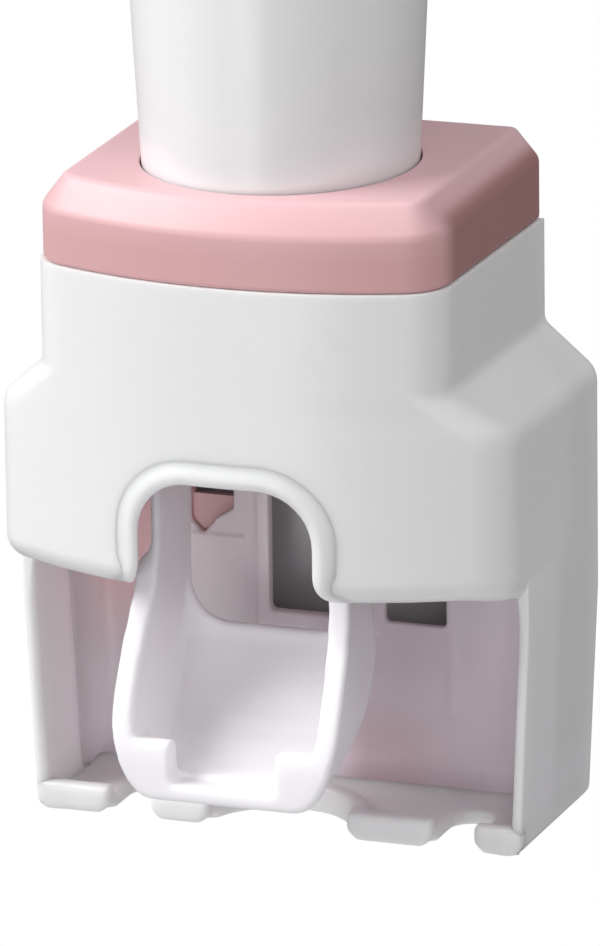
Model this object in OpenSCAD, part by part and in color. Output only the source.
// Wall-mounted toothpaste dispenser with two toothbrush bays, a push lever with a
// scoop for the brush head, a lift-off lid and a rinse cup standing on the lid.
// X points to the right, Y towards the wall and Z up. The origin is the middle of
// the face of the mounting pad that lies on the wall. The modules are drawn with
// z = 0 at the bottom edge of the housing and are lowered together at the end.

/* [Housing] */
// Width across the lower half of the housing
body_w = 120.2; // [114:0.2:132]
// Depth from the wall to the middle of the bowed front
body_d = 80.3; // [79:0.1:90]
// Radius of the bow of the front, seen from above
bow_r = 107; // [95:1:250]
// Height from the bottom edge to the seam under the lid
body_h = 134.3; // [128:0.1:150]
// Width of the narrower top of the housing
upper_w = 95.6; // [92:0.2:104]
// Wall thickness of the shell
wall = 2.6; // [2.2:0.1:3]
// Inward lean of each side wall at its bottom edge
draft = 2.4; // [0:0.1:4]
// Height at which the side walls reach their full width
draft_h = 50; // [30:1:60]
// Slope of the shoulders, in degrees below the horizontal
shoulder_slope = 40; // [32:1:48]
// Height at which the shoulder meets the upper side wall
shoulder_z = 110.9; // [109:0.1:114]
// Radius of the hollow above the shoulder
shoulder_top_r = 3; // [1:0.5:6]
// Radius of the round edge below the shoulder
shoulder_low_r = 6; // [4:0.5:9]
// Radius of the upright corners of the lower half
lower_corner_r = 17; // [12:0.5:20]
// Radius of the upright corners of the upper half
upper_corner_r = 11.5; // [8:0.5:15]
// Height of the lower edge of the front skirt
skirt_z = 64.7; // [62:0.1:68]
// Radius of the round lower edge of the skirt
skirt_r = 5.5; // [3:0.5:7]
// Distance from the wall to the front edges of the bay side walls
bay_d = 48.3; // [46:0.1:52]
// Drop of the skirt's lower edge where it runs round the corners to the side walls
skirt_drop = 4.7; // [3:0.1:6]
// Distance over which that drop is spread, seen from the side
skirt_drop_l = 17; // [12:0.5:20]
// Radius of the lower corners of the side walls, seen from the side
foot_r = 3; // [1:0.5:6]
// Gap between the housing and the wall
wall_gap = 0.5; // [0.2:0.1:1]

/* [Arch] */
// Half width of the arch in the skirt
arch_half_w = 20.5; // [19:0.5:22]
// Height of the top of the arch
arch_top_z = 89.2; // [86:0.1:91]
// Radius of the upper corners of the arch
arch_corner_r = 12.5; // [8:0.5:15]
// Width by which each side of the arch flares out at the bottom
flare_w = 4.9; // [2.5:0.1:6]
// Height of the flare
flare_h = 7.3; // [5:0.1:9]
// Width of the raised bead around the arch
bead_w = 4.4; // [3:0.1:5]
// Height of the bead above the front
bead_h = 1.2; // [0.6:0.1:2]

/* [Back panel and floor] */
// Distance from the wall to the front of the inner back panel
panel_y = 20; // [19:0.1:22]
// Thickness of the back panel
panel_t = 2; // [1.6:0.1:2.4]
// Clearance between fixed pieces that fit inside the shell
fit_gap = 0.3; // [0.2:0.05:0.5]
// Half width of the window in the middle of the back panel
window_half_w = 11.3; // [9:0.1:12]
// Height of the lower edge of that window
window_z = 43.3; // [40:0.1:48]
// Height of the window
window_h = 30; // [24:1:34]
// Width of the raised border round the window
border_w = 3; // [2:0.1:4]
// Height of the raised border
border_h = 1.2; // [0.6:0.1:2]
// Thickness of the floor of the bays
floor_t = 3.6; // [3:0.1:5]
// Height of the lip along the front edge of the floor
lip_h = 6.3; // [5:0.1:8]
// Thickness of the lip
lip_t = 4.4; // [3:0.1:6]
// Distance of the left brush slot from the middle
slot_left_x = 35.6; // [34:0.1:38]
// Distance of the right brush slot from the middle
slot_right_x = 41.6; // [38:0.1:43]
// Width of each brush slot
slot_w = 10; // [9:0.5:12]
// Length of each brush slot from the front edge of the floor
slot_l = 19; // [15:0.5:21]
// Radius of the half-round cut-out in the front edge of the floor
cutout_r = 16.5; // [12:0.5:20]

/* [Rear cover and wall plate] */
// Thickness of the rear cover
cover_t = 2; // [1.6:0.1:2.6]
// Thickness of the adhesive pad
pad_t = 0.8; // [0.5:0.1:1.2]
// Thickness of the wall plate
plate_t = 2.4; // [2:0.1:3]
// Width of the wall plate
plate_w = 84; // [76:1:92]
// Height of the wall plate
plate_h = 46; // [40:1:56]
// Height of the middle of the wall plate above the bottom edge
plate_z = 86; // [80:1:92]
// Distance of each hook from the middle
hook_x = 20; // [16:0.5:24]
// Width of each hook
hook_w = 10; // [8:0.5:12]
// Height of the upturned end of each hook
hook_lip_h = 5.5; // [4:0.5:7]
// Thickness of the hooks
hook_t = 2.4; // [2:0.1:3]
// Lift that the housing has above its hooks
lift = 9; // [8:0.5:10]
// Distance of each wall screw hole from the end of the wall plate
wall_hole_in = 8; // [6:0.5:10]
// Radius of the wall screw holes
wall_hole_r = 2.2; // [2:0.1:2.6]
// Radius of the shank of the housing screws
screw_r = 1.4; // [1.2:0.1:1.6]
// Radius of the head of the housing screws
screw_head_r = 2.8; // [2.4:0.1:3.2]
// Length of the shank of the housing screws
screw_l = 8; // [6:0.5:9]
// Distance of the cover screws from the middle
cover_screw_x = 41; // [38:0.5:41.5]

/* [Pump] */
// Height of the axis of the pump
pump_z = 94; // [93:0.1:95]
// Distance from the wall to the outlet and inlet of the pump
outlet_y = 42; // [41:0.1:43]
// Radius of the pump bore
bore_r = 8.5; // [7.5:0.1:8.8]
// Running clearance of the turning and sliding pieces
run_gap = 0.05; // [0.02:0.01:0.08]
// Distance from the wall to the front face of the pump body
pump_front = 56; // [55.5:0.1:57]
// Distance from the wall to the rear face of the pump body
pump_rear = 35; // [33:0.5:36]
// Half width of the pump body
pump_half_w = 14; // [12.5:0.5:15]
// Thickness of the pump body around the bore
pump_t = 2.5; // [2:0.1:3]
// Thickness of the front cap of the pump
cap_t = 2.5; // [2:0.1:3]
// Radius of the stem of the piston
stem_r = 4; // [3:0.1:5]
// Thickness of the piston
piston_t = 4; // [3.5:0.1:4.5]
// Radius of the head of the piston
head_r = 7; // [6:0.1:8]
// Thickness of the head of the piston
head_t = 1.5; // [1:0.1:2]
// Stroke of the piston
stroke = 3.9; // [3.8:0.1:4.2]
// Radius of the section of the piston seal
seal_r = 0.9; // [0.7:0.1:1]
// Radius of the paste ways into and out of the pump
port_r = 3; // [2.5:0.1:3.4]
// Radius of the inlet collar's bore, which takes the neck of a tube
inlet_r = 7.5; // [6.5:0.1:8.5]
// Wall of the inlet collar
collar_t = 2.5; // [2:0.1:3]
// Height of the inlet collar
collar_h = 12; // [9:0.5:14]
// Radius of the wire of the return spring
wire_r = 0.5; // [0.4:0.05:0.6]
// Number of turns of the return spring
spring_turns = 6; // [4:1:7]
// Radius of the return spring, to the middle of its wire
spring_r = 5.6; // [4.5:0.1:6]

/* [Push lever] */
// Distance from the wall to the pivot of the lever
pivot_y = 58; // [57:0.1:59]
// Height of the pivot of the lever
pivot_z = 108; // [107:0.1:109]
// Radius of the pivot pins
pin_r = 2; // [1.6:0.1:2.4]
// Radius of the bosses of the arms
arm_boss_r = 8; // [6.5:0.1:8]
// Half width of the arms at their outer faces
arm_half_w = 22.2; // [22:0.1:22.6]
// Wall thickness of the scoop and arms
scoop_t = 2.2; // [2:0.1:2.6]
// Distance from the wall to the rear edges of the arms
arm_rear = 45.5; // [45:0.1:46.5]
// Distance from the wall to the front edges of the arms
arm_front = 66.5; // [66:0.1:67.5]
// Distance from the wall to the front of the scoop's lip
scoop_front = 82; // [81:0.1:84]
// Height of the underside of the scoop
scoop_z = 16.5; // [15:0.1:18]
// Half width of the rim where it is widest
rim_half_w = 26.9; // [26.5:0.1:27.5]
// Height at which the rim is widest
rim_wide_z = 38; // [36:0.5:41]
// Height of the top of the rim
rim_top_z = 62; // [60:0.5:63]
// Overhang of the rim beyond the sides of the scoop
rim_over = 3; // [2:0.1:3.4]
// Thickness of the rim from front to back
rim_t = 3; // [2.6:0.1:3.4]
// Height of the top of the scoop's front lip
scoop_lip_z = 30; // [28:0.5:33]
// Half width of the notch in the lip for the brush neck
notch_half_w = 12.2; // [10:0.1:13]
// Height of the bottom of the notch
notch_z = 20.5; // [19.5:0.1:23]
// Height of the rear wall of the scoop
scoop_back_z = 48.3; // [46:0.1:52]
// Radius of the lower corners of the opening in the rear of the scoop
back_corner_r = 9; // [4:0.5:11]
// Thickness of the bar that joins the arms
bar_t = 2.5; // [2:0.1:3]
// Height of the bar that joins the arms
bar_h = 11; // [9:0.5:12]
// Radius of the push button's round end
button_r = 5; // [4.5:0.1:6]

/* [Lid and cup] */
// Inset of the lid from the outline of the housing
lid_inset = 0.6; // [0.3:0.1:1]
// Height of the upright band of the lid
band_h = 12.1; // [10:0.1:15]
// Height of the bevel of the lid
bevel_h = 6.8; // [5:0.1:9]
// Rise of the top of the lid from its front to its rear
lid_rise = 2.3; // [0:0.1:4]
// Width of the bevel of the lid
bevel_w = 5.3; // [4:0.1:7]
// Radius of the rear corners of the lid
lid_back_r = 2.5; // [1:0.5:4]
// Wall thickness of the lid
lid_t = 2; // [1.6:0.1:2.4]
// Depth of the locating skirt of the lid below the seam
lid_skirt_h = 4; // [2:0.5:6]
// Thickness of the locating skirt
lid_skirt_t = 1.6; // [1.2:0.1:2]
// Distance from the front of the housing to the recess for the cup
recess_front = 9.2; // [8:0.1:12]
// Distance from the wall to the recess for the cup
recess_back = 7.9; // [6.5:0.1:10]
// Depth of the recess
recess_h = 7; // [5:0.5:10]
// Thickness of the mat under the cup
mat_t = 0.8; // [0.5:0.1:1.2]
// Clearance between the cup's foot and the recess
cup_gap = 1.1; // [0.5:0.1:1.5]
// Height of the cup
cup_h = 95; // [70:1:110]
// Widening of the cup's radius from foot to brim
cup_flare = 4.8; // [2:0.1:8]
// Wall thickness of the cup
cup_t = 1.8; // [1.4:0.1:2.4]
// Thickness of the cup's bottom
cup_base_t = 2.6; // [2:0.1:4]

/* [Hidden] */
$fn = 64;
eps = 0.01;
bow_steps = 10;
arc_steps = 6;

white = [0.95, 0.95, 0.96];
shade_white = [0.88, 0.84, 0.87];
pink = [0.91, 0.71, 0.72];
rubber_grey = [0.75, 0.75, 0.77];
steel = [0.75, 0.76, 0.78];

lower_hw = body_w / 2;
wall_hole_x = plate_w / 2 - wall_hole_in;
upper_hw = upper_w / 2;
// Ends of the straight part of the shoulder
shoulder_turn = (90 - shoulder_slope) / 2;
shoulder_drop = (lower_hw - upper_hw) * tan(shoulder_slope);
low_arc_z = shoulder_z - shoulder_drop - shoulder_low_r * tan(shoulder_turn);
top_arc_z = shoulder_z + shoulder_top_r * tan(shoulder_turn);

// Places along Y, all counted forward from the wall
plate_front = -pad_t - plate_t;
cover_back = plate_front - 1.3;
cover_front = cover_back - cover_t;
panel_back = -panel_y + panel_t;

// Heights of the mechanism
pump_low = pump_z - bore_r - pump_t;
pump_top = pump_z + bore_r + pump_t + 0.5;
deck_t = 2;
deck_top = pump_top + deck_t;
seal_t = 1.2;
seal_seat_r = inlet_r - 1.5;
collar_floor = pump_top + 2;
valve_flange_t = 1;
piston_front = pump_front - 1.5;
head_front = pump_front + cap_t + stroke + head_t + 0.6;
button_h = 2.2;
bar_back = head_front + button_h;

// Lid and cup
lid_z = body_h;
lid_top = lid_z + band_h + bevel_h;
lid_hw = upper_hw - lid_inset;
well_floor = lid_top - recess_h;
recess_r = (body_d - recess_front - recess_back) / 2;
cup_y = recess_back + recess_r;
cup_z = well_floor + mat_t;
cup_foot_r = recess_r - cup_gap;

// Depth of the bowed outline at x, drawn in by t
function bow_y(x, t) = -(body_d - t) + x * x / (2 * (bow_r - t));

// Where the bow meets the corner arc
function flat_x(hw, r, t, n = 5) = n == 0 ? hw - r
    : hw - r * (1 - sin(atan(flat_x(hw, r, t, n - 1) / (bow_r - t))));

// Right half of the outline seen from above: bow, corner arc, side and rear corner
function half_plan(hw, r, t, back, back_r) = let (
        x0 = flat_x(hw, r, t),
        a0 = atan(x0 / (bow_r - t)),
        cy = bow_y(x0, t) + r * cos(a0))
    concat(
        [for (i = [0:bow_steps]) let (x = x0 * i / bow_steps) [x, bow_y(x, t)]],
        [for (i = [1:arc_steps]) let (a = a0 - 90 + (90 - a0) * i / arc_steps)
            [hw - r + r * cos(a), cy + r * sin(a)]],
        back_r == 0 ? [[hw, back]]
            : [for (a = [0:30:90]) [hw - back_r + back_r * cos(a), back - back_r + back_r * sin(a)]]);

// Whole outline, drawn once round
function plan(hw, r, t, back, back_r = 0) = let (h = half_plan(hw, r, t, back, back_r))
    concat(h, [for (i = [len(h) - 1:-1:1]) [-h[i][0], h[i][1]]]);

// One ring of a loft at height z
function ring(z, outline) = [for (p = outline) [p[0], p[1], z]];

// Solid through a stack of rings that all have the same number of points
module loft(rings) {
    n = len(rings[0]);
    m = len(rings);
    polyhedron(
        points = [for (r = rings) for (p = r) p],
        faces = concat(
            [[for (i = [0:n - 1]) i]],
            [for (k = [0:m - 2]) for (i = [0:n - 1]) let (j = (i + 1) % n)
                [k * n + i, (k + 1) * n + i, (k + 1) * n + j]],
            [for (k = [0:m - 2]) for (i = [0:n - 1]) let (j = (i + 1) % n)
                [k * n + i, (k + 1) * n + j, k * n + j]],
            [[for (i = [n - 1:-1:0]) (m - 1) * n + i]]));
}

// Tube swept along a path in the front of the housing, with an oval section.
// Each path point is [x, y, z]; the section is 2a wide in the path's plane and 2b deep
module bead(path, a, b, sides = 10) {
    n = len(path);
    loft([for (i = [0:n - 1]) let (
            p = path[max(i - 1, 0)],
            q = path[min(i + 1, n - 1)],
            dx = q[0] - p[0],
            dz = q[2] - p[2],
            s = norm([dx, dz]),
            c = path[i])
        [for (k = [0:sides - 1]) let (u = -360 * k / sides)
            [c[0] - dz / s * a * cos(u), c[1] + b * sin(u), c[2] + dx / s * a * cos(u)]]]);
}

// Stretches a drawing of the front view (x, z) from y0 back to y1
module front_view(y0, y1) {
    translate([0, y1, 0]) rotate([90, 0, 0]) linear_extrude(y1 - y0) children();
}

// Stretches a drawing of the side view (y, z) from x0 to x1
module side_view(x0, x1) {
    translate([x0, 0, 0]) rotate([90, 0, 90]) linear_extrude(x1 - x0) children();
}

// Upright block between two corners
module block(x0, x1, y0, y1, z0, z1) {
    translate([x0, y0, z0]) cube([x1 - x0, y1 - y0, z1 - z0]);
}

// Round bar along X, Y or Z
module rod_x(x0, x1, y, z, r) {
    translate([x0, y, z]) rotate([0, 90, 0]) cylinder(r = r, h = x1 - x0);
}
module rod_y(x, y0, y1, z, r) {
    translate([x, y1, z]) rotate([90, 0, 0]) cylinder(r = r, h = y1 - y0);
}
module rod_z(x, y, z0, z1, r) {
    translate([x, y, z0]) cylinder(r = r, h = z1 - z0);
}

// Both sides of the middle plane
module both_sides() {
    children();
    mirror([1, 0, 0]) children();
}

// Half width of the shell at the bottom edge
function foot_hw(t) = lower_hw - draft - t;

// Half widths of the shell, drawn in by t, as [z, half width], from the skirt up
function side_profile(t) = concat(
    [for (a = [0:12.5:50]) let (b = a * (90 - shoulder_slope) / 50)
        [low_arc_z + (shoulder_low_r - t) * sin(b),
            lower_hw - shoulder_low_r + (shoulder_low_r - t) * cos(b)]],
    [for (a = [50:-12.5:0]) let (b = a * (90 - shoulder_slope) / 50)
        [top_arc_z - (shoulder_top_r + t) * sin(b),
            upper_hw + shoulder_top_r - (shoulder_top_r + t) * cos(b)]]);

// Corner radius that goes with a half width
function corner_r(hw, t) = let (k = (hw + t - upper_hw) / (lower_hw - upper_hw))
    upper_corner_r + (lower_corner_r - upper_corner_r) * min(max(k, 0), 1) - t;

// Inset of the rounded lower edge of the skirt, h above it
function curl(h) = h >= skirt_r ? 0 : skirt_r - sqrt(skirt_r * skirt_r - pow(skirt_r - h, 2));

// Upper shell: skirt, front, sides and shoulders
module upper_shell_outside() {
    loft(concat(
        [for (a = [0:18:90]) let (h = skirt_r * (1 - cos(a)), c = curl(h))
            ring(skirt_z + h, plan(lower_hw - c, lower_corner_r - c, c, -wall_gap))],
        [for (p = side_profile(0))
            ring(p[0], plan(p[1], corner_r(p[1], 0), 0, -wall_gap))],
        [ring(body_h, plan(upper_hw, upper_corner_r, 0, -wall_gap))]));
}

// Lower side walls, before the bays are cut open at the front
module lower_shell_outside() {
    loft([
        ring(0, plan(foot_hw(0), lower_corner_r, 0, -wall_gap)),
        ring(draft_h, plan(lower_hw, lower_corner_r, 0, -wall_gap)),
        ring(low_arc_z, plan(lower_hw, lower_corner_r, 0, -wall_gap))]);
}

// Hollow of the whole shell, open below, above and behind
module shell_hollow() {
    lip = skirt_r + 1;
    loft(concat(
        [ring(-1, plan(foot_hw(wall), lower_corner_r - wall, lip, 5)),
            ring(draft_h, plan(lower_hw - wall, lower_corner_r - wall, lip, 5)),
            ring(skirt_z + 2, plan(lower_hw - wall, lower_corner_r - wall, lip, 5)),
            ring(skirt_z + skirt_r + 3, plan(lower_hw - wall, lower_corner_r - wall, wall, 5))],
        [for (p = side_profile(wall))
            ring(p[0], plan(p[1], corner_r(p[1], wall), wall, 5))],
        [ring(body_h + 1, plan(upper_hw - wall, upper_corner_r - wall, wall, 5))]));
}

// Outline of the arch in the skirt, in the front view
function arch_side(grow) = concat(
    [for (a = [0:15:90]) [arch_half_w + flare_w - (flare_w - grow) * sin(a),
        skirt_z + flare_h - (flare_h - grow) * cos(a)]],
    [for (a = [0:15:90]) [arch_half_w - arch_corner_r + (arch_corner_r + grow) * cos(a),
        arch_top_z - arch_corner_r + (arch_corner_r + grow) * sin(a)]]);

module arch_outline() {
    h = arch_side(0);
    polygon(concat(
        [[h[0][0], skirt_z - 10]],
        h,
        [for (i = [len(h) - 1:-1:0]) [-h[i][0], h[i][1]]],
        [[-h[0][0], skirt_z - 10]]));
}

// Raised bead along the edge of the arch
module arch_bead() {
    h = arch_side(bead_w / 2);
    path = concat(h, [for (i = [len(h) - 1:-1:0]) [-h[i][0], h[i][1]]]);
    bead([for (p = path) let (c = curl(p[1] - skirt_z))
            [p[0], bow_y(p[0], c) + bead_w / 2 - bead_h, p[1] + 0.1]],
        bead_w / 2, bead_w / 2);
}

// Rails inside the shell on which the mechanism frame rests
rail_h = 3;
rail_in = upper_hw - 5.8;
module rails() {
    both_sides()
        block(rail_in, lower_hw, -deck_front - 1, cover_front, pump_top - rail_h, pump_top);
}

// Side walls in the side view, with the drop of the skirt's edge in front of them
module side_wall_outline() {
    polygon(concat(
        [for (a = [0:30:90]) [-bay_d + foot_r - foot_r * sin(a), foot_r - foot_r * cos(a)]],
        [for (a = [0:15:90]) [-bay_d - skirt_drop_l + skirt_drop_l * cos(a),
            skirt_z - skirt_drop + skirt_drop * sin(a)]],
        [[-bay_d - skirt_drop_l, skirt_z + 1], [-bay_d, low_arc_z], [-wall_gap, low_arc_z]],
        [for (a = [0:30:90]) [-wall_gap - foot_r + foot_r * cos(a), foot_r - foot_r * sin(a)]]));
}

module front_shell() {
    color(white) difference() {
        union() {
            difference() {
                union() {
                    upper_shell_outside();
                    intersection() {
                        lower_shell_outside();
                        side_view(-body_w, body_w) side_wall_outline();
                    }
                }
                shell_hollow();
            }
            intersection() {
                upper_shell_outside();
                rails();
            }
            arch_bead();
        }
        front_view(-body_d - 10, -body_d + 14) arch_outline();
    }
}

// Outline of what fits inside the shell in the front view, drawn in by t
module inner_outline(t, z0, z1) {
    low = side_profile(t);
    side = concat([[foot_hw(t) + draft * z0 / draft_h, z0], [lower_hw - t, draft_h]],
        [for (p = low) if (p[0] < z1) [p[1], p[0]]], [[upper_hw - t, z1]]);
    polygon(concat(side, [for (i = [len(side) - 1:-1:0]) [-side[i][0], side[i][1]]]));
}

// Heights of the cover screws, in the back panel and under the deck of the frame
post_zs = [22, pump_top - 10];
post_r = screw_r + 1.8;

notch_top = window_z + window_h + 0.9;

module back_panel() {
    t = wall + fit_gap;
    slot_x = window_half_w + 4.8;
    panel_slot_w = 14.5;
    notch_x = slot_x + panel_slot_w;
    plate_x = window_half_w + 6.2;
    color(shade_white) {
        difference() {
            union() {
                front_view(-panel_y, panel_back) difference() {
                    intersection() {
                        inner_outline(t, floor_t, pump_top - 0.1);
                        translate([-body_w, 0]) square([2 * body_w, pump_top - rail_h - fit_gap]);
                    }
                    translate([-window_half_w, window_z]) square([2 * window_half_w, window_h]);
                    // Wide slot on the right, notch on the left
                    translate([slot_x, window_z - 0.5]) square([panel_slot_w, window_h]);
                    polygon([[-notch_x, notch_top], [-notch_x + 10.5, notch_top],
                        [-notch_x + 10.5, notch_top - 8], [-notch_x + 6.5, notch_top - 10.7],
                        [-notch_x + 3, notch_top - 14.7], [-notch_x, notch_top - 11.7]]);
                }
                // Raised border of the window
                front_view(-panel_y - border_h, -panel_y + eps) difference() {
                    translate([-window_half_w - border_w, window_z - border_w - 0.8])
                        square([2 * (window_half_w + border_w), window_h + border_w + 4]);
                    translate([-window_half_w, window_z]) square([2 * window_half_w, window_h + 6]);
                }
                // Low plate beside the window, with a seam across it
                for (z = [[38, 54.8], [55.2, 59.5]])
                    front_view(-panel_y - 0.5, -panel_y + eps)
                        translate([-plate_x - 13.5, z[0]]) square([13.5, z[1] - z[0]]);
                both_sides() rod_y(cover_screw_x, panel_back - eps, cover_front, post_zs[0],
                    post_r);
            }
            both_sides() rod_y(cover_screw_x, cover_front - screw_l, cover_front + 1, post_zs[0],
                screw_r + run_gap);
        }
    }
}

// Plan of the bay floor: slots open to the front and a half-round cut-out
module floor_cuts() {
    for (x = [-slot_left_x, slot_right_x]) {
        translate([x - slot_w / 2, -bay_d - 5]) square([slot_w, slot_l + 5 - slot_w / 2]);
        translate([x, -bay_d + slot_l - slot_w / 2]) circle(r = slot_w / 2);
    }
    translate([0, -bay_d]) circle(r = cutout_r);
}

module brush_floor() {
    hw = foot_hw(wall + fit_gap);
    color(white) {
        difference() {
            linear_extrude(floor_t) difference() {
                translate([-hw, -bay_d]) square([2 * hw, bay_d + cover_front - fit_gap]);
                floor_cuts();
            }
        }
        // Lip along the front edge and round the half-round cut-out
        translate([0, 0, floor_t - eps]) linear_extrude(lip_h - floor_t + eps) difference() {
            union() {
                translate([-hw, -bay_d]) square([2 * hw, lip_t]);
                translate([0, -bay_d]) circle(r = cutout_r + lip_t);
            }
            floor_cuts();
            translate([-hw, -bay_d - 40]) square([2 * hw, 40]);
        }
    }
}

window_lo = plate_z + hook_t / 2 - hook_t - lift - 0.6;
hook_foot_top = plate_z + hook_t / 2;

module rear_cover() {
    t = wall + fit_gap;
    color(white) difference() {
        front_view(cover_front, cover_back) inner_outline(t, 1, body_h - 1.5);
        both_sides() block(hook_x - hook_w / 2 - 0.5, hook_x + hook_w / 2 + 0.5,
            cover_front - 1, cover_back + 1, window_lo, hook_foot_top);
        for (z = post_zs) both_sides()
            rod_y(cover_screw_x, cover_front - 1, cover_back + 1, z, screw_r + 0.3);
        for (z = post_zs) both_sides()
            rod_y(cover_screw_x, cover_back - 1.2, cover_back + 1, z, screw_head_r + 0.3);
    }
}

module wall_plate() {
    color(white) difference() {
        union() {
            block(-plate_w / 2, plate_w / 2, plate_front, -pad_t,
                plate_z - plate_h / 2, plate_z + plate_h / 2);
            both_sides() block(hook_x - hook_w / 2, hook_x + hook_w / 2,
                cover_front - fit_gap - hook_t, plate_front + eps,
                hook_foot_top - hook_t, hook_foot_top);
            both_sides() block(hook_x - hook_w / 2, hook_x + hook_w / 2,
                cover_front - fit_gap - hook_t, cover_front - fit_gap,
                hook_foot_top - hook_t, hook_foot_top + hook_lip_h);
        }
        both_sides() rod_y(wall_hole_x, plate_front - 1, 1, plate_z, wall_hole_r);
        both_sides() translate([wall_hole_x, plate_front + 1.4, plate_z]) rotate([90, 0, 0])
            cylinder(r1 = wall_hole_r, r2 = wall_hole_r + 2.2, h = 1.4 + eps);
    }
}

module adhesive_pad() {
    color([0.3, 0.3, 0.32]) difference() {
        block(-plate_w / 2 + 2, plate_w / 2 - 2, -pad_t, 0,
            plate_z - plate_h / 2 + 2, plate_z + plate_h / 2 - 2);
        both_sides() rod_y(wall_hole_x, -pad_t - 1, 1, plate_z, wall_hole_r + 0.5);
    }
}

// Hoods over the arms of the lever: inner and outer cheeks with the pivot bores
hood_t = 2;
hood_gap = 0.8;
hood_in = arm_half_w - scoop_t - hood_gap - hood_t;
hood_out = arm_half_w + hood_gap;
hood_top = pivot_z + arm_boss_r + 1;
hood_front = pivot_y + arm_boss_r + 1;
hood_rear = pivot_y - arm_boss_r - 1;
screw_x = pump_half_w - screw_head_r - 0.2;
screw_y = pump_front - screw_head_r - 1.2;
deck_front = hood_front - 5.7;
// Room behind the arms for their swing
arm_swing = 3.5;
// Legs of the frame behind the back panel
leg_in = 18.5;
leg_w = 13.5;
leg_t = 1.6;
leg_z = 54;
leg_window_z = 68.3;
leg_window_h = 12;

module mech_frame() {
    deck_hw = upper_hw - wall - fit_gap;
    color(pink) difference() {
        union() {
            difference() {
                block(-deck_hw, deck_hw, -deck_front, cover_front - fit_gap, pump_top, deck_top);
                // Open front between the hoods, and the ways of the two arms
                block(-hood_in - hood_t, hood_in + hood_t, -body_d, -pump_front - 1, pump_top - 1,
                    deck_top + 1);
                both_sides() block(hood_in + hood_t, hood_out, -body_d, -arm_rear + arm_swing,
                    pump_top - 1, deck_top + 1);
            }
            both_sides() for (x = [hood_in, hood_out])
                block(x, x + hood_t, -hood_front, -hood_rear, pump_top, hood_top + hood_t);
            both_sides() block(hood_in, hood_out + hood_t, -hood_front, -hood_rear, hood_top,
                hood_top + hood_t);
            // Legs behind the back panel, seen through its notch
            both_sides() block(leg_in, leg_in + leg_w, panel_back + fit_gap,
                panel_back + fit_gap + leg_t, leg_z, deck_top);
            // Posts for the upper cover screws, hung from the deck
            both_sides() rod_y(cover_screw_x, panel_back + 1, cover_front, post_zs[1], post_r);
            both_sides() block(cover_screw_x - 1, cover_screw_x + 1, panel_back + 1,
                cover_front - fit_gap, post_zs[1] + screw_r + 1, pump_top + eps);
        }
        both_sides() rod_y(cover_screw_x, cover_front - screw_l, cover_front + 1, post_zs[1],
            screw_r + run_gap);
        both_sides() rod_x(hood_in - 1, hood_out + hood_t + 1, -pivot_y, pivot_z, pin_r + 0.02);
        both_sides() block(leg_in + 1.5, leg_in + leg_w - 1.5, panel_back,
            panel_back + fit_gap + leg_t + 1, leg_window_z, leg_window_z + leg_window_h);
        rod_z(0, -outlet_y, pump_top - 1, deck_top + 1, inlet_r + collar_t + fit_gap);
        both_sides() rod_z(screw_x, -screw_y, pump_top - 1, deck_top + 1, screw_r + 0.3);
    }
}

module pivot_pin(side) {
    x1 = hood_out + hood_t;
    color(steel) rod_x(side > 0 ? hood_in : -x1, side > 0 ? x1 : -hood_in, -pivot_y, pivot_z,
        pin_r);
}
module pivot_pin_left() { pivot_pin(-1); }
module pivot_pin_right() { pivot_pin(1); }

bore_end = outlet_y - port_r - 1;

module pump_body() {
    color(pink) difference() {
        union() {
            block(-pump_half_w, pump_half_w, -pump_front, -pump_rear, pump_low + 4, pump_top);
            rod_y(0, -pump_front, -pump_rear, pump_z, bore_r + pump_t);
            rod_z(0, -outlet_y, pump_low - 1.5, pump_low + 4, port_r + 2);
        }
        rod_y(0, -pump_front - 1, -bore_end, pump_z, bore_r);
        rod_z(0, -outlet_y, pump_low - 3, pump_z, port_r);
        rod_z(0, -outlet_y, pump_z, pump_top + 1, port_r + 1);
        rod_z(0, -outlet_y, pump_top - valve_flange_t, pump_top + 1, port_r + 2.2);
        both_sides() rod_z(screw_x, -screw_y, deck_top - screw_l, pump_top + 1,
            screw_r + run_gap);
    }
}

module pump_cap() {
    color(pink) difference() {
        rod_y(0, -pump_front - cap_t, -pump_front, pump_z, bore_r + pump_t);
        rod_y(0, -pump_front - cap_t - 1, -pump_front + 1, pump_z, stem_r + run_gap);
    }
}

// Collar for the neck of the tube, with a floor ring over the valve
module inlet_collar() {
    color(pink) difference() {
        rod_z(0, -outlet_y, pump_top, pump_top + collar_h, inlet_r + collar_t);
        rod_z(0, -outlet_y, collar_floor, pump_top + collar_h + 1, inlet_r);
        rod_z(0, -outlet_y, collar_floor - seal_t, collar_floor + 1, seal_seat_r);
        rod_z(0, -outlet_y, pump_top - 1, collar_floor, port_r);
    }
}

// Flat rubber ring in the floor of the collar, on which the end of the tube's neck presses
module inlet_seal() {
    color(rubber_grey) difference() {
        rod_z(0, -outlet_y, collar_floor - seal_t, collar_floor, seal_seat_r - run_gap);
        rod_z(0, -outlet_y, pump_top, collar_floor + 1, port_r);
    }
}

// One-way valve: a flanged rubber sleeve with a slit end, in the way down to the pump
module inlet_valve() {
    color(rubber_grey) difference() {
        union() {
            rod_z(0, -outlet_y, pump_top - valve_flange_t, pump_top, port_r + 2.1);
            rod_z(0, -outlet_y, pump_top - 2.6, pump_top - valve_flange_t, port_r + 0.9);
        }
        rod_z(0, -outlet_y, pump_top - 2, pump_top + 1, port_r - 0.6);
        block(-port_r + 1, port_r - 1, -outlet_y - 0.15, -outlet_y + 0.15,
            pump_top - 4, pump_top - 1);
    }
}

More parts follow.
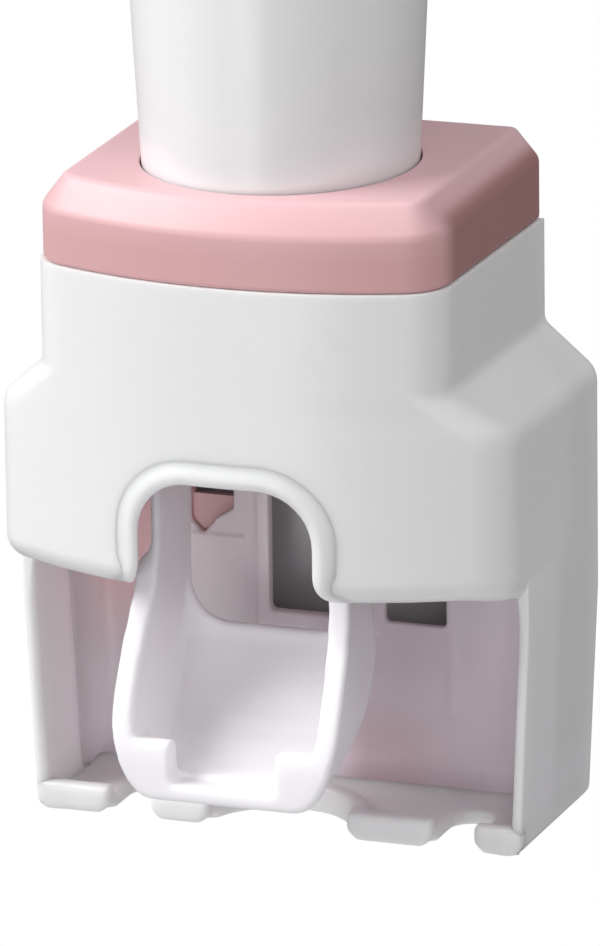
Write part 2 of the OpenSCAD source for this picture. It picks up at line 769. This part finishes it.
// Rubber nozzle with a slit end, in the way out of the pump
module outlet_nozzle() {
    color(rubber_grey) difference() {
        union() {
            rod_z(0, -outlet_y, pump_low - 2.7, pump_low + 4, port_r - run_gap);
            rod_z(0, -outlet_y, pump_low - 2.7, pump_low - 1.5, port_r + 2);
        }
        rod_z(0, -outlet_y, pump_low - 1.9, pump_low + 5, port_r - 1);
        block(-port_r + 1, port_r - 1, -outlet_y - 0.15, -outlet_y + 0.15,
            pump_low - 4, pump_low - 1);
    }
}

module piston() {
    color(white) difference() {
        union() {
            rod_y(0, -piston_front, -piston_front + piston_t, pump_z, bore_r - run_gap);
            rod_y(0, -head_front + head_t / 2, -piston_front + eps, pump_z, stem_r);
            rod_y(0, -head_front, -head_front + head_t, pump_z, head_r);
        }
        // Groove for the seal, and a pocket for the spring
        difference() {
            rod_y(0, -piston_front + piston_t / 2 - seal_r - 0.1,
                -piston_front + piston_t / 2 + seal_r + 0.1, pump_z, bore_r + 1);
            rod_y(0, -piston_front - 1, -piston_front + piston_t + 1, pump_z,
                bore_r - 2 * seal_r - run_gap);
        }
    }
}

module piston_seal() {
    color(rubber_grey) translate([0, -piston_front + piston_t / 2, pump_z]) rotate([90, 0, 0])
        rotate_extrude() translate([bore_r - seal_r - 0.03, 0]) circle(r = seal_r, $fn = 32);
}

// Compression spring from the piston to the end of the bore, one unbroken tube
spring_y0 = -piston_front + piston_t + 0.1;
spring_y1 = -bore_end - 0.1;
spring_rings = 8 * spring_turns;

function spring_point(i) = let (
        a = 360 * i / 8,
        y = spring_y0 + wire_r + (spring_y1 - spring_y0 - 2 * wire_r) * i / spring_rings)
    [spring_r * cos(a), y, pump_z + spring_r * sin(a)];

module return_spring() {
    color(steel) loft([for (i = [0:spring_rings]) let (
            c = spring_point(i),
            out = [cos(45 * i), 0, sin(45 * i)])
        [for (k = [0:5]) c + wire_r * (cos(60 * k) * out + sin(60 * k) * [0, 1, 0])]]);
}

// Least gap of the spring to itself, over points at least half a turn apart
spring_gap = min([for (i = [0:spring_rings]) for (j = [i + 4:spring_rings])
    norm(spring_point(i) - spring_point(j))]) - 2 * wire_r;
echo(spring_gap = spring_gap);

module screw_z(x, y, top, l) {
    color(steel) {
        rod_z(x, y, top - l, top + eps, screw_r);
        difference() {
            rod_z(x, y, top, top + 1.6, screw_head_r);
            block(x - 1.8, x + 1.8, y - 0.3, y + 0.3, top + 0.9, top + 3);
            block(x - 0.3, x + 0.3, y - 1.8, y + 1.8, top + 0.9, top + 3);
        }
    }
}
module pump_screw_left() { screw_z(-screw_x, -screw_y, deck_top, screw_l - 1); }
module pump_screw_right() { screw_z(screw_x, -screw_y, deck_top, screw_l - 1); }

module cover_screw(x, z) {
    back = cover_back - 1.2;
    color(steel) {
        rod_y(x, back - screw_l + 0.4, back + eps, z, screw_r);
        difference() {
            rod_y(x, back, back + 1.1, z, screw_head_r);
            block(x - 1.8, x + 1.8, back + 0.5, back + 3, z - 0.3, z + 0.3);
            block(x - 0.3, x + 0.3, back + 0.5, back + 3, z - 1.8, z + 1.8);
        }
    }
}
module cover_screw_top_left() { cover_screw(-cover_screw_x, post_zs[1]); }
module cover_screw_top_right() { cover_screw(cover_screw_x, post_zs[1]); }
module cover_screw_low_left() { cover_screw(-cover_screw_x, post_zs[0]); }
module cover_screw_low_right() { cover_screw(cover_screw_x, post_zs[0]); }

// Half width of the rim's outer edge at height z, above its widest place
function rim_side(z) = rim_half_w - 1.5 * pow((z - rim_wide_z) / (rim_top_z - rim_wide_z), 2);

// Right side of the scoop in the front view, drawn in by t, from the top down
function scoop_side(t) = let (rx = 10, ry = rim_wide_z - scoop_z) concat(
    [for (z = [rim_top_z:-4:rim_wide_z + 1]) [rim_side(z) - t, z]],
    [for (a = [0:10:90]) [rim_half_w - rx + (rx - t) * cos(a), rim_wide_z - (ry - t) * sin(a)]]);

// Both sides of that outline, closed across the top at height z1
module scoop_outline(t, z1, hw_top) {
    s = concat([[hw_top, z1], [hw_top, rim_top_z + 8],
        [max(hw_top, rim_side(rim_top_z) - t), rim_top_z + 4]], scoop_side(t));
    polygon(concat(s, [for (i = [len(s) - 1:-1:0]) [-s[i][0], s[i][1]]]));
}

// Front edge of the scoop and arms in the side view, from the top down
function front_edge(z) = let (
        k = min(max((72 - z) / (72 - 25), 0), 1))
    -arm_front - (scoop_front - arm_front) * (1 - cos(180 * k)) / 2;

// Underside and rear of the scoop in the side view, drawn in by t
function under_edge(t) = let (rz = scoop_back_z - 3 - scoop_z)
    [for (a = [0:10:90]) [-scoop_front + rim_t + (scoop_front - arm_rear - rim_t - t) * sin(a),
        scoop_z + t + (rz - t) * (1 - pow(cos(a), 1.5))]];

module arm_profile() {
    polygon(concat(
        [for (z = [pivot_z - 4:-4:scoop_z + 4]) [front_edge(z), z]],
        [[front_edge(scoop_z), scoop_z + 2], [front_edge(scoop_z) + 1.5, scoop_z]],
        under_edge(0),
        [[-arm_rear, pivot_z - 12], [-pivot_y + arm_boss_r, pivot_z]]));
    translate([-pivot_y, pivot_z]) circle(r = arm_boss_r);
}

module scoop() {
    inner_hw = arm_half_w - scoop_t;
    bar_z = pump_z - bar_h / 2;
    color(white) difference() {
        union() {
            // Bowl and arms
            difference() {
                intersection() {
                    front_view(-scoop_front - 1, -arm_rear + 1)
                        scoop_outline(rim_over, pivot_z + arm_boss_r + 1, arm_half_w);
                    side_view(-rim_half_w, rim_half_w) arm_profile();
                }
                intersection() {
                    front_view(-scoop_front - 10, -arm_rear + 10)
                        scoop_outline(rim_over + scoop_t, pivot_z + arm_boss_r + 2, inner_hw);
                    side_view(-rim_half_w, rim_half_w) polygon(concat(
                        [[-scoop_front - 9, pivot_z + arm_boss_r + 2], [-scoop_front - 9, scoop_lip_z],
                            [-scoop_front + rim_t, scoop_lip_z], [-scoop_front + rim_t, scoop_z + scoop_t]],
                        under_edge(scoop_t),
                        [[-arm_rear - scoop_t, pivot_z + arm_boss_r + 2]]));
                }
                // Opening in the rear, with round lower corners
                front_view(-arm_rear - scoop_t - 1, -arm_rear + arm_boss_r) hull() both_sides() {
                    translate([inner_hw - back_corner_r, scoop_back_z + back_corner_r])
                        circle(r = back_corner_r, $fn = 32);
                    translate([inner_hw - 1, pivot_z + arm_boss_r]) square(1);
                }
            }
            // Rim along the front edge
            intersection() {
                front_view(-scoop_front - 1, -arm_rear) difference() {
                    scoop_outline(0, rim_top_z + 8.5, arm_half_w);
                    scoop_outline(rim_over + scoop_t, rim_top_z + 9, inner_hw);
                }
                side_view(-rim_half_w, rim_half_w) polygon(concat(
                    [for (z = [rim_top_z + 8:-3:scoop_z - 3]) [front_edge(z), z]],
                    [for (z = [scoop_z - 3:3:rim_top_z + 8]) [front_edge(z) + rim_t, z]]));
            }
            // Front lip
            intersection() {
                front_view(-scoop_front - 1, -arm_rear) difference() {
                    scoop_outline(0.5, rim_top_z, arm_half_w);
                    translate([-rim_half_w, scoop_lip_z]) square([2 * rim_half_w, 60]);
                }
                side_view(-rim_half_w, rim_half_w) polygon(concat(
                    [for (z = [scoop_lip_z:-3:scoop_z]) [front_edge(z), z]],
                    [[-scoop_front + rim_t, scoop_z], [-scoop_front + rim_t + 1, scoop_lip_z]]));
            }
            // Bar between the arms, in front of the pump
            block(-arm_half_w, arm_half_w, -bar_back - bar_t, -bar_back, bar_z, bar_z + bar_h);
            both_sides() block(inner_hw, arm_half_w, -bar_back - bar_t, -arm_front + 1, bar_z,
                bar_z + bar_h);
        }
        // Notch for the neck of the brush
        front_view(-scoop_front - 2, -scoop_front + rim_t + 3)
            translate([-notch_half_w, notch_z]) square([2 * notch_half_w, scoop_lip_z]);
        both_sides() rod_x(arm_half_w - scoop_t - 1, arm_half_w + 1, -pivot_y, pivot_z,
            pin_r + run_gap);
        // Socket of the push button
        rod_y(0, -bar_back - 1.2, -bar_back + 1, pump_z, button_r - 1.9 + run_gap);
    }
}

// Button with a round end that bears on the head of the piston
module push_button() {
    color(rubber_grey) {
        intersection() {
            translate([0, -head_front - button_r, pump_z]) sphere(r = button_r);
            rod_y(0, -bar_back, -head_front + 1, pump_z, button_r);
        }
        rod_y(0, -bar_back - 1.2, -bar_back + eps, pump_z, button_r - 1.9);
    }
}

lid_back = -wall_gap - lid_inset;

// Ring that rises towards the wall with the top of the lid
function rising_ring(z, outline) = [for (p = outline)
    [p[0], p[1], z + lid_rise * (p[1] + body_d) / (body_d - wall_gap)]];

// Lid, drawn in by t, with a bevel along its front and sides
module lid_solid(t) {
    low = plan(lid_hw - t, upper_corner_r - t, lid_inset + t, lid_back - t, lid_back_r);
    loft([
        ring(t == 0 ? lid_z : lid_z - 1, low),
        rising_ring(lid_z + band_h, low),
        rising_ring(lid_top - t, plan(lid_hw - t - bevel_w, upper_corner_r - t - 1,
            lid_inset + t + bevel_w, lid_back - t - 1, lid_back_r))]);
}

// Outline of the lid's inner pieces, drawn in by t from the outside of the housing
function lid_plan(t) = plan(upper_hw - t, upper_corner_r - t, t, min(-t, cover_front - t));

module lid_shell() {
    skirt_in = wall + fit_gap;
    color(pink) difference() {
        union() {
            difference() {
                lid_solid(0);
                lid_solid(lid_t);
            }
            // Locating skirt inside the top of the housing, joined to the band above it
            difference() {
                loft([
                    ring(lid_z - lid_skirt_h, lid_plan(skirt_in)),
                    ring(lid_z, lid_plan(skirt_in)),
                    ring(lid_z + eps, lid_plan(lid_inset + lid_t / 2)),
                    ring(lid_z + 2, lid_plan(lid_inset + lid_t / 2))]);
                loft([for (z = [lid_z - lid_skirt_h - 1, lid_z + 3])
                    ring(z, lid_plan(skirt_in + lid_skirt_t))]);
            }
        }
        rod_z(0, -cup_y, lid_top - 10, lid_top + lid_rise + 1, recess_r);
    }
}

// Well under the lid that carries the cup
module cup_well() {
    top = lid_top - lid_t;
    slope = atan(lid_rise / (body_d - wall_gap));
    color(pink) difference() {
        rod_z(0, -cup_y, well_floor - 1.8, top + lid_rise, recess_r + 1.8);
        rod_z(0, -cup_y, well_floor, top + lid_rise + 1, recess_r);
        translate([0, -body_d, top]) rotate([slope, 0, 0])
            translate([-body_w, -5, 0]) cube([2 * body_w, body_d + 10, 10]);
    }
}

module cup_mat() {
    color(rubber_grey) rod_z(0, -cup_y, well_floor, well_floor + mat_t, cup_foot_r - 1);
}

module cup() {
    r0 = cup_foot_r;
    r1 = cup_foot_r + cup_flare;
    color(white) translate([0, -cup_y, cup_z]) rotate_extrude($fn = 96) union() {
        polygon([[0, 0], [r0 - 1, 0], [r0, 1], [r1, cup_h - 1], [r1 - cup_t, cup_h - 1],
            [r0 - cup_t + 0.1, cup_base_t + 1], [r0 - cup_t - 1, cup_base_t], [0, cup_base_t]]);
        translate([r1 - cup_t / 2, cup_h - 1]) circle(r = cup_t / 2, $fn = 32);
    }
}

// Lowers a piece so that the origin is the middle of the wall pad
module at_wall() {
    translate([0, 0, -plate_z]) children();
}

at_wall() {
    wall_plate();
    adhesive_pad();
    front_shell();
    back_panel();
    brush_floor();
    rear_cover();
    mech_frame();
    pump_body();
    pump_cap();
    inlet_collar();
    inlet_seal();
    inlet_valve();
    outlet_nozzle();
    return_spring();
    pivot_pin_left();
    pivot_pin_right();
    pump_screw_left();
    pump_screw_right();
    cover_screw_top_left();
    cover_screw_top_right();
    cover_screw_low_left();
    cover_screw_low_right();
    scoop();
    push_button();
    piston();
    piston_seal();
    lid_shell();
    cup_well();
    cup_mat();
    cup();
}
